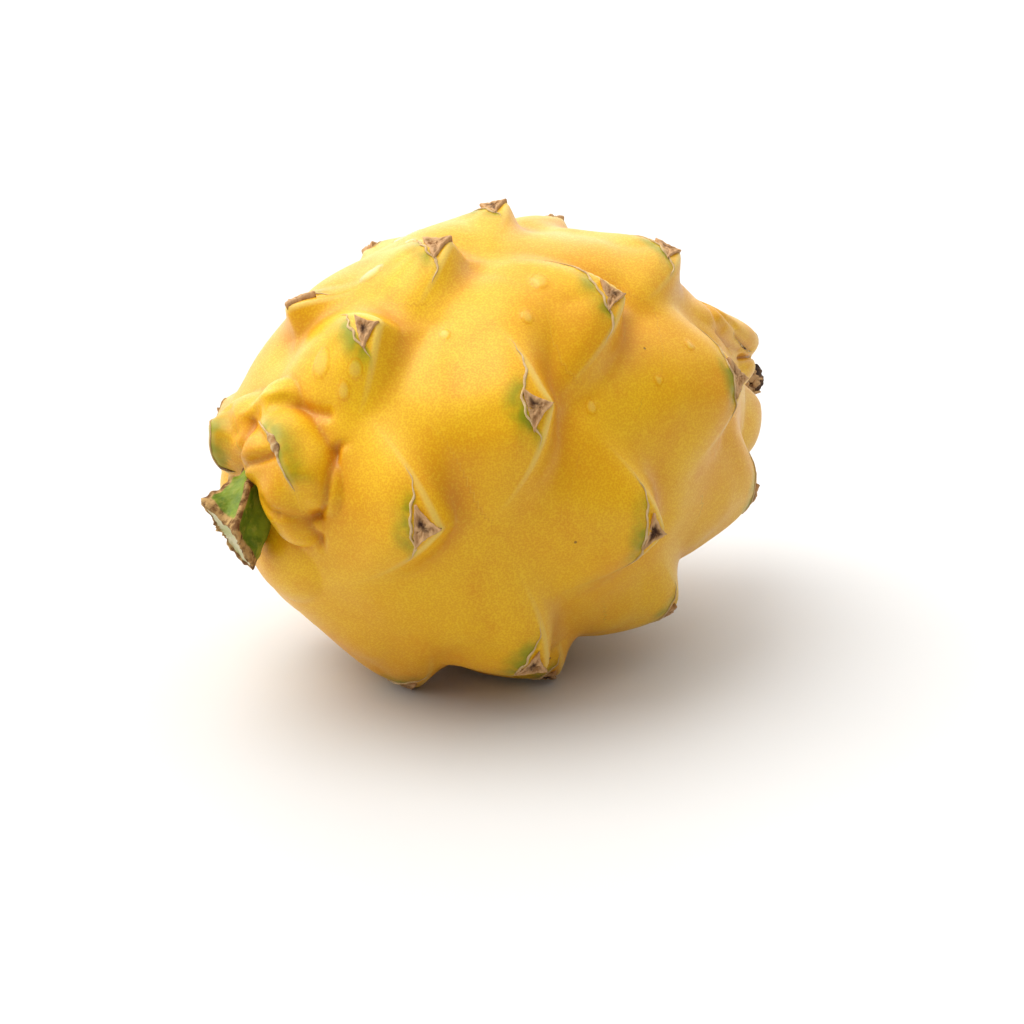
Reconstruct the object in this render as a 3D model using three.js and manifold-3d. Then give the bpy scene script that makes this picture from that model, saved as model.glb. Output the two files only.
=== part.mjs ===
// A yellow dragon fruit (pitahaya), picked and lying on its side.
// +X runs from the cut stalk to the dry flower, +Z is up, millimetres.
// The origin is under the middle of the bounding box, on the surface that the fruit rests on.
import * as THREE from "three";
import { mergeVertices } from "three/addons/utils/BufferGeometryUtils.js";
import Module from "manifold-3d";

// Driving dimensions. Stations run along the fruit's axis from its thickest place, and angles run
// round it from the top towards -Y, in degrees.
const body = { stalkLength: 53.5, flowerLength: 67.5, radius: 42.8, stalkTaper: 0.98, flowerTaper: 1.5,
  sink: 1.9 };
const rest = { tilt: 1.5, height: 42.2 };            // how the fruit lies, and its axis above the surface
const middle = { x: 6.7, y: 0.37 };                  // middle of the bounding box, from the thickest place
const cells = 28;                                    // grid cells along each side of the rind's cube
const gap = 0.3;                                     // clearance between the separate pieces
const sliver = 0.01;                                 // edges shorter than this are closed up after the cuts

// One tubercle: a soft dome behind a sharp lip that ends in a beak. `station` and `angle` place
// the beak, `turn` is its heading from +X, and `reach` is how far the lip runs to either side. The
// lip's arms sweep back from the beak, the arm nearer the top by the share `upper` of the other.
const plain = { dome: 3.2, back: 10, long: 10, half: 10.5, lip: 3.2, reach: 11, slope: 13, front: 4.2,
  turn: 10, beak: 1.5, lean: 1, nose: 1, sweep: 0.3, bend: 34, trough: 0.9, upper: 1 };
const tubercles = [
  { station: -17.5, angle: 62.4, dome: 3.8, back: 12.5, long: 11.5, half: 13, lip: 3.6, reach: 16,
    slope: 16, turn: 5, sweep: 0.15, bend: 40, upper: 0.13 },
  { station: 6, angle: 43, dome: 3.4, back: 12, long: 11, half: 12, lip: 3.6, reach: 12, slope: 15, turn: 12,
    bend: 28 },
  { station: -37, angle: 86.4, dome: 3.3, back: 8, long: 9 },
  { station: -33.8, angle: 23.8, dome: 2.8, back: 8, long: 8, half: 9, reach: 8, turn: 20 },
  { station: -14, angle: 11, dome: 2.6, back: 9, long: 9, half: 9.5, lip: 2.6, reach: 8.5, turn: 25 },
  { station: 9, angle: -5, dome: 1.7, lip: 2.2, reach: 6.5, slope: 9, beak: 2.4 },
  { station: 31.5, angle: 28, dome: 3.3, long: 11, lip: 3.4, turn: 18, front: 6, trough: 0.2, beak: 1 },
  { station: -36, angle: -14, dome: 1.4, back: 8, long: 7, half: 7, lip: 2.8, reach: 6.5, slope: 8, turn: 170,
    beak: 2 },
  { station: -2, angle: -44, dome: 1, lip: 2.2, reach: 7, front: 5, turn: -110, beak: 1.6 },
  { station: 31, angle: 69.5, dome: 3.8, back: 12, long: 13, half: 12, lip: 2.6, reach: 12, slope: 16,
    turn: 12, bend: 60 },
  { station: -14, angle: 133, dome: 3.1 },
];
// The other tubercles stand where two families of slanting rows cross, each a little out of line.
const rows = { start: [-17.5, 62.4], along: [23, -17], across: [19.71, 36.86], count: 8, from: -43,
  to: 44, clear: 16.5, seed: 7 };
const rowPlain = { ...plain, lip: 2.9, turn: 15 };
const stray = { station: 1.5, angle: 2.5, dome: 0.4, lip: 0.3, turn: 7 };
// What all tubercles share: how the dome stops at the front, how the lip softens to its sides, and
// how far the beak and the hollow ahead of it spread.
const form = { ahead: 1.7, cut: 0.75, cutReach: 2.2, wing: 2.2, noseHalf: 2.2, leastSlope: 4, slopeLoss: 0.35,
  frontGain: 0.55, crispHalf: 8.5, crisp: 0.12, soft: 0.5, beakHalf: 3.4, beakBehind: 6, leanHalf: 3.5,
  troughAhead: 8, troughHalf: 4.5 };
// Rounded lobes: short ones round the stalk, and long ones that stretch over the dry flower.
const stalkLobes = [
  { station: -50.3, angle: 42, high: 6.4, out: 6.2, inner: 7, half: 12 },
  { station: -51.9, angle: 14, high: 6.8, out: 5.5, inner: 7.5, half: 7 },
  { station: -52.1, angle: 62, high: 7, out: 6, inner: 6.8, half: 7.5 },
  { station: -48, angle: 2, high: 3.8, out: 5, inner: 5, half: 5.5 },
  { station: -50.9, angle: -32, high: 6.4, out: 9, inner: 8, half: 10.5 },
  { station: -51.9, angle: 93, high: 4.6, out: 5, inner: 6.5, half: 5.2 },
  { station: -51.4, angle: 174, high: 2.2, out: 9.5, inner: 8, half: 11 },
  { station: -51.2, angle: 242, high: 2.2, out: 10, inner: 8, half: 11.5 },
];
const plainFlowerLobe = { station: 60.5, high: 3, out: 23, inner: 8, half: 8, stretch: 3.5, droop: 0 };
const flowerLobes = [
  { angle: 43, station: 57.5, high: 3.2, out: 29, inner: 12, half: 6.5, stretch: 4.2, droop: 2.2 },
  { angle: 68, station: 58.5, high: 1.8, out: 8, inner: 6, half: 4, stretch: 1.5 },
  { angle: 118 },
  { angle: 190, stretch: 5 },
  { angle: 262 },
  { angle: 330, stretch: 5 },
];
const roundness = { stalk: 0.95, flower: 1.3, stretch: 1.5 };
// Ridges over the lobes round the stalk, along short paths of station and angle. Each falls off
// gently on the side that `gentle` measures and steeply on the other.
const ridges = [
  { path: [[-50.1, -2], [-49.9, 22], [-49.8, 37], [-50.2, 54], [-50.5, 64]], high: 2, steep: 1.1, gentle: 4 },
  { path: [[-52.7, -48], [-52.3, -54], [-51.6, -36], [-49.7, -37]], high: 1.3, steep: 1.2, gentle: 2.5 },
];
// The cut stalk: a short three-ribbed stub that widens towards its cut end. `twist` is how far a rib
// has turned at the root.
const stalk = {
  root: [-52.5, 0.2, 1], heading: [-7.2, -1.4, -4.5], cut: [-0.86, 0.13, -0.49], length: 8.6,
  ribs: [
    { angle: 15, high: 5.2, wide: 30, twist: 0 },
    { angle: 188, high: 4.8, wide: 38, twist: 0 },
    { angle: 303, high: 3.6, wide: 24, twist: 45 },
  ],
  core: 3.1, sink: 4.5, rootScale: 0.45, rings: 7, sides: 36,
};
// The dry flower: a short knobbly stub in the hollow between the long lobes.
const flower = { from: 63.5, to: 77, drop: 3.2, radius: 5.2, endRadius: 4, round: 0.62, knobs: 5,
  knobHeight: 0.16, twist: 2, rings: 7, sides: 30 };
// The dry tip on each beak: a small four-sided spike whose root is sunk in the rind.
const dryTip = { sides: 4, long: 2.4, half: 1.9, behind: 1.2, ahead: 1.7, proud: 0.7, root: 2 };

const wasm = await Module();
wasm.setup();

const colours = { rind: "#e9ac1f", stalk: "#6d8a2c", flower: "#6b4a32" };
const radians = (degrees) => (degrees * Math.PI) / 180;
const clamp01 = (value) => Math.min(1, Math.max(0, value));
const bell = (x) => Math.exp(-x * x);
const halfWave = (x) => Math.cos((clamp01(x) * Math.PI) / 2) ** 2;

// A seeded draw between -1 and 1, the same on every run.
function makeDraw(seed) {
  let state = seed;
  return () => {
    state = (state * 48271) % 2147483647;
    return (2 * state) / 2147483647 - 1;
  };
}

// The smooth body under the tubercles, at a direction from the middle.
function baseAt(unit) {
  const length = unit.x < 0 ? body.stalkLength : body.flowerLength;
  const taper = unit.x < 0 ? body.stalkTaper : body.flowerTaper;
  const across = Math.max(1e-6, Math.hypot(unit.y, unit.z));
  const radius = body.radius * across ** taper;
  const slope = (body.radius * taper * across ** (taper - 1) * unit.x) / (length * across);
  const point = new THREE.Vector3(length * unit.x, (radius * unit.y) / across, (radius * unit.z) / across);
  const normal = new THREE.Vector3(slope, unit.y / across, unit.z / across).normalize();
  return { point, normal };
}

function unitAt(station, angle) {
  const x = station / (station < 0 ? body.stalkLength : body.flowerLength);
  const across = Math.sqrt(1 - x * x);
  return new THREE.Vector3(x, -across * Math.sin(radians(angle)), across * Math.cos(radians(angle)));
}

// Where a feature stands: its point, and the directions out, ahead and to its side.
function placeAt({ station, angle, turn = 0 }) {
  const unit = unitAt(station, angle);
  const { point, normal } = baseAt(unit);
  const around = new THREE.Vector3(0, -Math.cos(radians(angle)), -Math.sin(radians(angle)));
  const along = new THREE.Vector3().crossVectors(around, normal);
  if (along.x < 0) along.negate();
  const [c, s] = [Math.cos(radians(turn)), Math.sin(radians(turn))];
  const ahead = along.clone().multiplyScalar(c).addScaledVector(around, s);
  const side = around.clone().multiplyScalar(c).addScaledVector(along, -s);
  return { unit, point, normal, ahead, side };
}

function allTubercles() {
  const stands = tubercles.map((t) => ({ ...plain, ...t }));
  const places = [...stands, ...stalkLobes, ...longLobes].map((t) => placeAt(t).point);
  const draw = makeDraw(rows.seed);
  for (let j = -rows.count; j <= rows.count; j += 1) {
    for (let i = -rows.count + 1; i < rows.count; i += 1) {
      const station = rows.start[0] + i * rows.along[0] + j * rows.across[0] + stray.station * draw();
      const angle = rows.start[1] + i * rows.along[1] + j * rows.across[1] + stray.angle * draw();
      if (station < rows.from || station > rows.to) continue;
      const next = { ...rowPlain, station, angle };
      for (const key of ["dome", "lip", "turn"]) next[key] += stray[key] * draw();
      const point = placeAt(next).point;
      if (places.every((other) => other.distanceTo(point) > rows.clear)) {
        stands.push(next);
        places.push(point);
      }
    }
  }
  return stands.map((t) => ({ ...t, ...placeAt(t) }));
}

function smoothMin(a, b, width) {
  const h = clamp01(0.5 + (0.5 * (b - a)) / width);
  return b + (a - b) * h - width * h * (1 - h);
}

// How far a point of the base lies ahead of a feature and to its side, along the surface.
function offsetFrom(place, point, normal) {
  const away = point.clone().sub(place.point);
  const distance = away.length();
  if (distance > 45 || normal.dot(place.normal) < -0.2) return null;
  const ahead = away.dot(place.ahead);
  const side = away.dot(place.side);
  const scale = distance / (Math.hypot(ahead, side) + 1e-9);
  return { ahead: ahead * scale, side: side * scale };
}

const longLobes = flowerLobes.map((lobe) => ({ ...plainFlowerLobe, ...lobe }));
const stands = allTubercles();
const lobes = [
  ...stalkLobes.map((lobe) => ({ ...lobe, ...placeAt({ ...lobe, turn: 180 }), roundness: roundness.stalk,
    stretch: 0, droop: 0 })),
  ...longLobes.map((lobe) => ({ ...lobe, ...placeAt(lobe), roundness: roundness.flower })),
];

// How far a tubercle's crest lies behind its beak, at a distance `side` to the side.
function crestBehind(t, side) {
  const fromMiddle = Math.sqrt(side * side + 0.5) - Math.sqrt(0.5);
  const arm = side < 0 ? t.upper : 1;
  return t.nose * (1 - Math.exp(-fromMiddle / form.noseHalf))
    + arm * (t.sweep * fromMiddle + (side * side) / t.bend);
}

// A tubercle's dome, its lip and its lean at a point `ahead` of its beak and `side` to the side.
function tubercleAt(t, ahead, side) {
  const off = Math.abs(side);
  const edge = ahead + crestBehind(t, side);
  const fromDome = ahead + t.back;
  const alongDome = (fromDome > 0 ? fromDome / form.ahead : fromDome) / t.long;
  const cut = 1 - form.cut * clamp01((edge + 0.5) / (form.cutReach * t.front));
  const wing = Math.exp(-((off / t.reach) ** form.wing));
  const trough = t.trough * wing * bell((edge - form.troughAhead) / form.troughHalf);
  const rise = halfWave(-edge / Math.max(form.leastSlope, t.slope - form.slopeLoss * off));
  const past = clamp01(edge / (t.front + form.frontGain * off));
  const fall = 0.5 * (1 - past) ** 1.7 + 0.5 * halfWave(past);
  const softness = form.crisp + form.soft * (1 - bell(off / form.crispHalf));
  const lip = t.lip * wing * Math.max(0, smoothMin(rise, fall, softness));
  const beakLength = edge < 0 ? bell(edge / form.beakBehind) : clamp01(1 - edge / form.beakHalf) ** 1.5;
  const beak = t.beak * Math.exp(-Math.sqrt(off * off + 0.8) / form.beakHalf) * beakLength;
  return { dome: t.dome * bell(alongDome) * bell(off / t.half) * cut - trough, lip: lip + beak,
    lean: t.lean * wing * bell(edge / form.leanHalf) };
}

const ridgeSteps = 24;
const ridgeNodes = ridges.map((ridge) => {
  const nodes = ridge.path.map(([station, angle]) => baseAt(unitAt(station, angle)).point);
  return new THREE.CatmullRomCurve3(nodes).getSpacedPoints(ridgeSteps);
});

// A ridge's height at a point. It follows the nodes of its path and fades at both ends.
function ridgeAt(ridge, nodes, point, normal) {
  let [distance, place, left] = [Infinity, 0, 0];
  nodes.slice(1).forEach((end, k) => {
    const line = new THREE.Line3(nodes[k], end);
    const away = line.closestPointToPoint(point, true, new THREE.Vector3()).sub(point).negate();
    if (away.length() >= distance) return;
    distance = away.length();
    place = k / (ridgeSteps - 1);
    left = new THREE.Vector3().crossVectors(normal, line.delta(new THREE.Vector3())).dot(away);
  });
  const fade = clamp01(6 * Math.min(place, 1 - place) + 0.15);
  return ridge.high * fade * bell(distance / (left > 0 ? ridge.gentle : ridge.steep));
}

// The rind's height above the base, and how far it leans out of the upright.
function reliefAt(point, normal) {
  let domes = 0;
  let lips = 0;
  const lean = new THREE.Vector3();
  for (const t of stands) {
    const offset = offsetFrom(t, point, normal);
    if (!offset) continue;
    const tubercle = tubercleAt(t, offset.ahead, offset.side);
    domes += tubercle.dome;
    lips += tubercle.lip ** 3;
    lean.addScaledVector(t.ahead, tubercle.lean);
  }
  for (const lobe of lobes) {
    const offset = offsetFrom(lobe, point, normal);
    if (!offset) continue;
    const along = offset.ahead / (offset.ahead < 0 ? lobe.out : lobe.inner);
    const round = clamp01(1 - along * along - (offset.side / lobe.half) ** 2) ** lobe.roundness;
    lips += (lobe.high * round) ** 3;
    lean.x += lobe.stretch * round ** roundness.stretch;
    lean.z -= lobe.droop * round ** roundness.stretch;
  }
  ridges.forEach((ridge, k) => {
    domes += ridgeAt(ridge, ridgeNodes[k], point, normal);
  });
  return { height: domes + Math.cbrt(lips) - body.sink, lean };
}

// A gentle unevenness all over, so that no dome is a perfect one.
function rolling(point) {
  const [x, y, z] = point.clone().multiplyScalar(0.1).toArray();
  const broad = Math.sin(1.1 * x + 1.7 * y + 0.6) * Math.sin(1.3 * z - 0.7 * x + 1);
  const fine = Math.sin(2.3 * y - 1.1 * z + 2) * Math.sin(1.9 * x + 0.4);
  return 0.35 * (broad + fine);
}

function rindPoint(unit) {
  const { point, normal } = baseAt(unit);
  const { height, lean } = reliefAt(point, normal);
  return point.clone().addScaledVector(normal, height + rolling(point)).add(lean);
}

// A cube's grid blown up to a sphere, drawn a little towards each beak so that the beaks stay sharp.
function rindGeometry() {
  const cube = new THREE.BoxGeometry(2, 2, 2, cells, cells, cells);
  cube.deleteAttribute("normal");
  cube.deleteAttribute("uv");
  const geometry = mergeVertices(cube, 1e-5);
  const position = geometry.attributes.position;
  const units = Array.from({ length: position.count }, (_, k) => {
    const corner = new THREE.Vector3().fromBufferAttribute(position, k).toArray();
    return new THREE.Vector3(...corner.map((c) => Math.tan((c * Math.PI) / 4))).normalize();
  });
  const pulls = stands.map((t) => {
    const closer = (best, unit) => (unit.distanceTo(t.unit) < best.distanceTo(t.unit) ? unit : best);
    const nearest = units.reduce(closer);
    return { from: nearest.clone(), by: t.unit.clone().sub(nearest) };
  });
  const reach = 2 / cells;
  units.forEach((unit, k) => {
    const moved = unit.clone();
    for (const { from, by } of pulls) moved.addScaledVector(by, bell(unit.distanceTo(from) / reach));
    const point = rindPoint(moved.normalize());
    position.setXYZ(k, point.x, point.y, point.z);
  });
  return geometry;
}

// A closed solid through rings of points, with a point in the middle of each end.
function loft(rings) {
  const sides = rings[0].length;
  const centre = (ring) => ring.reduce((sum, p) => sum.add(p), new THREE.Vector3()).divideScalar(sides);
  const points = [...rings.flat(), centre(rings[0]), centre(rings.at(-1))];
  const faces = [];
  for (let k = 0; k < sides; k += 1) {
    const next = (k + 1) % sides;
    for (let r = 0; r + 1 < rings.length; r += 1) {
      const [a, b] = [r * sides + k, r * sides + next];
      faces.push(a, b, b + sides, a, b + sides, a + sides);
    }
    const last = (rings.length - 1) * sides;
    faces.push(points.length - 2, next, k, points.length - 1, last + k, last + next);
  }
  const geometry = new THREE.BufferGeometry();
  geometry.setAttribute("position", new THREE.Float32BufferAttribute(points.flatMap((p) => p.toArray()), 3));
  geometry.setIndex(faces);
  return geometry;
}

// The stalk's section is a round core with ribs, and the whole widens from its root to the cut.
function stalkGeometry(grow = 0) {
  const heading = new THREE.Vector3(...stalk.heading).normalize();
  const cut = new THREE.Vector3(...stalk.cut).normalize();
  const up = new THREE.Vector3(0, 0, 1).addScaledVector(heading, -heading.z).normalize();
  const across = new THREE.Vector3().crossVectors(heading, up);
  const rings = Array.from({ length: stalk.rings }, (_, r) => {
    const t = r / (stalk.rings - 1);
    const start = -stalk.sink - grow;
    const axis = start + t * (stalk.length - start);
    const widen = stalk.rootScale + (1 - stalk.rootScale) * t ** 0.8;
    return Array.from({ length: stalk.sides }, (__, k) => {
      const turn = (360 * k) / stalk.sides;
      let radius = stalk.core;
      for (const rib of stalk.ribs) {
        const off = ((turn - rib.angle - rib.twist * (1 - t) + 900) % 360) - 180;
        radius += rib.high * bell(off / rib.wide);
      }
      const out = up.clone().multiplyScalar(Math.cos(radians(turn)));
      out.addScaledVector(across, Math.sin(radians(turn)));
      const slanted = axis - (t * radius * widen * out.dot(cut)) / heading.dot(cut);
      return new THREE.Vector3(...stalk.root).addScaledVector(heading, slanted)
        .addScaledVector(out, radius * widen + grow);
    });
  });
  return loft(rings);
}

function flowerGeometry(grow = 0) {
  const rings = Array.from({ length: flower.rings }, (_, r) => {
    const t = r / (flower.rings - 1);
    const x = flower.from - grow + t * (flower.to - flower.from + grow);
    const round = t < 1 ? 1 : flower.round;
    return Array.from({ length: flower.sides }, (__, k) => {
      const turn = (2 * Math.PI * k) / flower.sides;
      const knobs = 1 + flower.knobHeight * t * Math.cos(flower.knobs * turn + flower.twist * t);
      const radius = (flower.radius + (flower.endRadius - flower.radius) * t) * knobs * round + grow;
      return new THREE.Vector3(x, radius * Math.cos(turn), radius * Math.sin(turn) - flower.drop);
    });
  });
  return loft(rings);
}

function dryTipGeometry(t) {
  const at = (ahead, side, out) => rindPoint(t.unit).addScaledVector(t.ahead, ahead)
    .addScaledVector(t.side, side).addScaledVector(t.normal, out);
  const base = Array.from({ length: dryTip.sides }, (_, k) => {
    const turn = (2 * Math.PI * k) / dryTip.sides;
    return at(dryTip.long * Math.cos(turn) - dryTip.behind, dryTip.half * Math.sin(turn), -dryTip.root);
  });
  const points = [...base, at(dryTip.ahead, 0, dryTip.proud)];
  const faces = [];
  for (let k = 0; k < dryTip.sides; k += 1) faces.push(k, (k + 1) % dryTip.sides, dryTip.sides);
  for (let k = 1; k + 1 < dryTip.sides; k += 1) faces.push(0, k + 1, k);
  const geometry = new THREE.BufferGeometry();
  geometry.setAttribute("position", new THREE.Float32BufferAttribute(points.flatMap((p) => p.toArray()), 3));
  const mirrored = new THREE.Vector3().crossVectors(t.ahead, t.side).dot(t.normal) < 0;
  geometry.setIndex(mirrored ? faces.reverse() : faces);
  return geometry;
}

// Puts a shape from the fruit's own frame where the fruit lies.
function lay(geometry) {
  geometry.rotateY(-radians(rest.tilt));
  geometry.translate(-middle.x, -middle.y, rest.height);
  return geometry;
}

function toSolid(geometry) {
  return new wasm.Manifold(new wasm.Mesh({
    numProp: 3,
    vertProperties: new Float32Array(geometry.attributes.position.array),
    triVerts: new Uint32Array(geometry.index.array),
  }));
}

function toMesh(solid, name, colour) {
  const mesh = solid.getMesh();
  const geometry = new THREE.BufferGeometry();
  geometry.setAttribute("position", new THREE.BufferAttribute(new Float32Array(mesh.vertProperties), 3));
  geometry.setIndex(new THREE.BufferAttribute(new Uint32Array(mesh.triVerts), 1));
  geometry.computeVertexNormals();
  const material = new THREE.MeshStandardMaterial({ color: colour, roughness: 0.45, metalness: 0 });
  const piece = new THREE.Mesh(geometry, material);
  piece.name = name;
  return piece;
}

// Everything below the resting surface, to cut the flat spot.
function groundSolid() {
  const size = 200;
  const box = new THREE.BoxGeometry(size, size, size);
  box.translate(0, 0, -size / 2);
  box.deleteAttribute("normal");
  box.deleteAttribute("uv");
  return toSolid(mergeVertices(box));
}

let rind = toSolid(lay(rindGeometry()));
for (const t of stands) rind = rind.add(toSolid(lay(dryTipGeometry(t))));
rind = rind.subtract(groundSolid());
rind = rind.subtract(toSolid(lay(stalkGeometry(gap))));
rind = rind.subtract(toSolid(lay(flowerGeometry(gap)))).simplify(sliver);

const fruit = new THREE.Group();
fruit.name = "dragon_fruit";
fruit.add(toMesh(rind, "rind", colours.rind));
fruit.add(toMesh(toSolid(lay(stalkGeometry())), "stalk", colours.stalk));
fruit.add(toMesh(toSolid(lay(flowerGeometry())), "dry_flower", colours.flower));
export default fruit;
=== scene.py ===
import math
import bpy
import numpy as np
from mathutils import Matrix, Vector


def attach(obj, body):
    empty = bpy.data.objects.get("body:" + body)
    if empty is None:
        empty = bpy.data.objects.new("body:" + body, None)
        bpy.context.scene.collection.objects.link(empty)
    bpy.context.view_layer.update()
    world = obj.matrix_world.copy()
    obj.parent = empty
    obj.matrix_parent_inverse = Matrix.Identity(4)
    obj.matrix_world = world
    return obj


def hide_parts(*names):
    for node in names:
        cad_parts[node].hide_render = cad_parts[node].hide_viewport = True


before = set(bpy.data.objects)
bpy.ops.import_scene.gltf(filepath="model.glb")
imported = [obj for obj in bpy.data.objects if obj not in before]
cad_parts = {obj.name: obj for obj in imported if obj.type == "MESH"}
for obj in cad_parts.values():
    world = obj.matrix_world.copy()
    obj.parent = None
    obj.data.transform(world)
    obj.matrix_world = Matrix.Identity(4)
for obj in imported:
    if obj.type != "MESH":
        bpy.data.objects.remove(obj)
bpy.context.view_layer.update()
print("frame loaded:", list(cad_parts))

mm = 0.001

# Stations run along the fruit's axis from its thickest place, and angles run round it from the
# top towards -Y, in degrees. Lengths are in millimetres.
body = {"stalkLength": 53.5, "flowerLength": 67.5, "radius": 42.8, "stalkTaper": 0.98, "flowerTaper": 1.5,
        "sink": 1.9}
lie = {"tilt": 1.5, "height": 42.2, "middleX": 6.7, "middleY": 0.37}

# One tubercle: a soft dome behind a sharp lip that ends in a beak. "station" and "angle" place the
# beak, "turn" is its heading from +X, and "reach" is how far the lip runs to either side. The lip's
# arms sweep back from the beak, the arm nearer the top by the share "upper" of the other.
plainTubercle = {
    "dome": 3.2, "back": 10, "long": 10, "half": 10.5, "lip": 3.2, "reach": 11, "slope": 13, "front": 4.2,
    "turn": 10, "beak": 1.5, "lean": 1, "nose": 1, "sweep": 0.3, "bend": 34, "trough": 0.9, "ledge": 0.8,
    "upper": 1
}
seenTubercles = [
    dict(station=-17.5, angle=62.4, dome=3.8, back=12.5, long=11.5, half=13, lip=3.6, reach=16, slope=16,
         turn=5, sweep=0.15, bend=40, upper=0.13),
    dict(station=6, angle=43, dome=3.4, back=12, long=11, half=12, lip=3.6, reach=12, slope=15, turn=12,
         bend=28),
    dict(station=-37, angle=86.4, dome=3.3, back=8, long=9),
    dict(station=-33.8, angle=23.8, dome=2.8, back=8, long=8, half=9, reach=8, turn=20),
    dict(station=-14, angle=11, dome=2.6, back=9, long=9, half=9.5, lip=2.6, reach=8.5, turn=25),
    dict(station=9, angle=-5, dome=1.7, lip=2.2, reach=6.5, slope=9, beak=2.4),
    dict(station=31.5, angle=28, dome=3.3, long=11, lip=3.4, turn=18, front=6, trough=0.2, beak=1),
    dict(station=-36, angle=-14, dome=1.4, back=8, long=7, half=7, lip=2.8, reach=6.5, slope=8, turn=170,
         beak=2),
    dict(station=-2, angle=-44, dome=1, lip=2.2, reach=7, front=5, turn=-110, beak=1.6),
    dict(station=31, angle=69.5, dome=3.8, back=12, long=13, half=12, lip=2.6, reach=12, slope=16, turn=12,
         bend=60),
    dict(station=-14, angle=133, dome=3.1),
]
# The rest stand where two families of slanting rows cross, each a little out of line.
rows = {"start": (-17.5, 62.4), "along": (23, -17), "across": (19.71, 36.86), "count": 8, "from": -43,
        "to": 44, "clear": 16.5, "seed": 7}
rowPlain = {**plainTubercle, "lip": 2.9, "turn": 15}
stray = {"station": 1.5, "angle": 2.5, "dome": 0.4, "lip": 0.3, "turn": 7}
# What all tubercles share: how the dome stops at the front, how the lip softens to its sides, how
# far the beak, the hollow ahead of it and the ledge behind it spread, and how far any of it reaches.
form = {
    "ahead": 1.7, "cut": 0.75, "cutReach": 2.2, "wing": 2.2, "noseHalf": 2.2, "leastSlope": 4,
    "slopeLoss": 0.35, "frontGain": 0.55, "crispHalf": 12, "crisp": 0.12, "soft": 0.5, "beakHalf": 3.4,
    "beakBehind": 6, "leanHalf": 3.5, "troughAhead": 8, "troughHalf": 4.5, "ledgeBehind": 1.9,
    "ledgeHalf": 1.3, "ledgeWide": 4.2, "markHalf": 9, "farthest": 45, "facing": -0.2
}
# The thin line where a shield ends lies behind the crest, most of all at the beak.
shield = {"deep": 3.9, "half": 3.6, "upperHalf": 5.2}
# Rounded lobes: short ones round the stalk, and long ones that stretch over the dry flower.
stalkLobes = [
    dict(station=-50.3, angle=42, high=6.4, out=6.2, inner=7, half=12),
    dict(station=-51.9, angle=14, high=6.8, out=5.5, inner=7.5, half=7),
    dict(station=-52.1, angle=62, high=7, out=6, inner=6.8, half=7.5),
    dict(station=-48, angle=2, high=3.8, out=5, inner=5, half=5.5),
    dict(station=-50.9, angle=-32, high=6.4, out=9, inner=8, half=10.5),
    dict(station=-51.9, angle=93, high=4.6, out=5, inner=6.5, half=5.2),
    dict(station=-51.4, angle=174, high=2.2, out=9.5, inner=8, half=11),
    dict(station=-51.2, angle=242, high=2.2, out=10, inner=8, half=11.5),
]
plainFlowerLobe = {"station": 60.5, "high": 3, "out": 23, "inner": 8, "half": 8, "stretch": 3.5}
flowerLobes = [
    dict(angle=43, station=57.5, high=3.2, out=29, inner=12, half=6.5, stretch=4.2, droop=2.2),
    dict(angle=68, station=58.5, high=1.8, out=8, inner=6, half=4, stretch=1.5),
    dict(angle=118),
    dict(angle=190, stretch=5),
    dict(angle=262),
    dict(angle=330, stretch=5),
]
roundness = {"stalk": 0.95, "flower": 1.3, "stretch": 1.5}


def unit(v):
    v = np.asarray(v, dtype=float)
    return v / np.linalg.norm(v, axis=-1, keepdims=True)


def makeDraw(seed):
    state = [seed]

    def draw():
        state[0] = (state[0] * 48271) % 2147483647
        return 2 * state[0] / 2147483647 - 1
    return draw


def baseAt(way):
    x, y, z = way[:, 0], way[:, 1], way[:, 2]
    length = np.where(x < 0, body["stalkLength"], body["flowerLength"])
    taper = np.where(x < 0, body["stalkTaper"], body["flowerTaper"])
    across = np.maximum(1e-6, np.hypot(y, z))
    radius = body["radius"] * across ** taper
    slope = body["radius"] * taper * across ** (taper - 1) * x / (length * across)
    point = np.stack([length * x, radius * y / across, radius * z / across], axis=1)
    return point, unit(np.stack([slope, y / across, z / across], axis=1))


def wayAt(station, angle):
    x = station / (body["stalkLength"] if station < 0 else body["flowerLength"])
    across = math.sqrt(1 - x * x)
    a = math.radians(angle)
    return np.array([x, -across * math.sin(a), across * math.cos(a)])


def placeAt(item, turn=None):
    way = wayAt(item["station"], item["angle"])
    point, normal = (v[0] for v in baseAt(way[None]))
    a = math.radians(item["angle"])
    around = np.array([0, -math.cos(a), -math.sin(a)])
    along = np.cross(around, normal)
    if along[0] < 0:
        along = -along
    t = math.radians(item.get("turn", 0) if turn is None else turn)
    return {**item, "way": way, "point": point, "normal": normal,
            "ahead": along * math.cos(t) + around * math.sin(t),
            "side": around * math.cos(t) - along * math.sin(t)}


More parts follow.
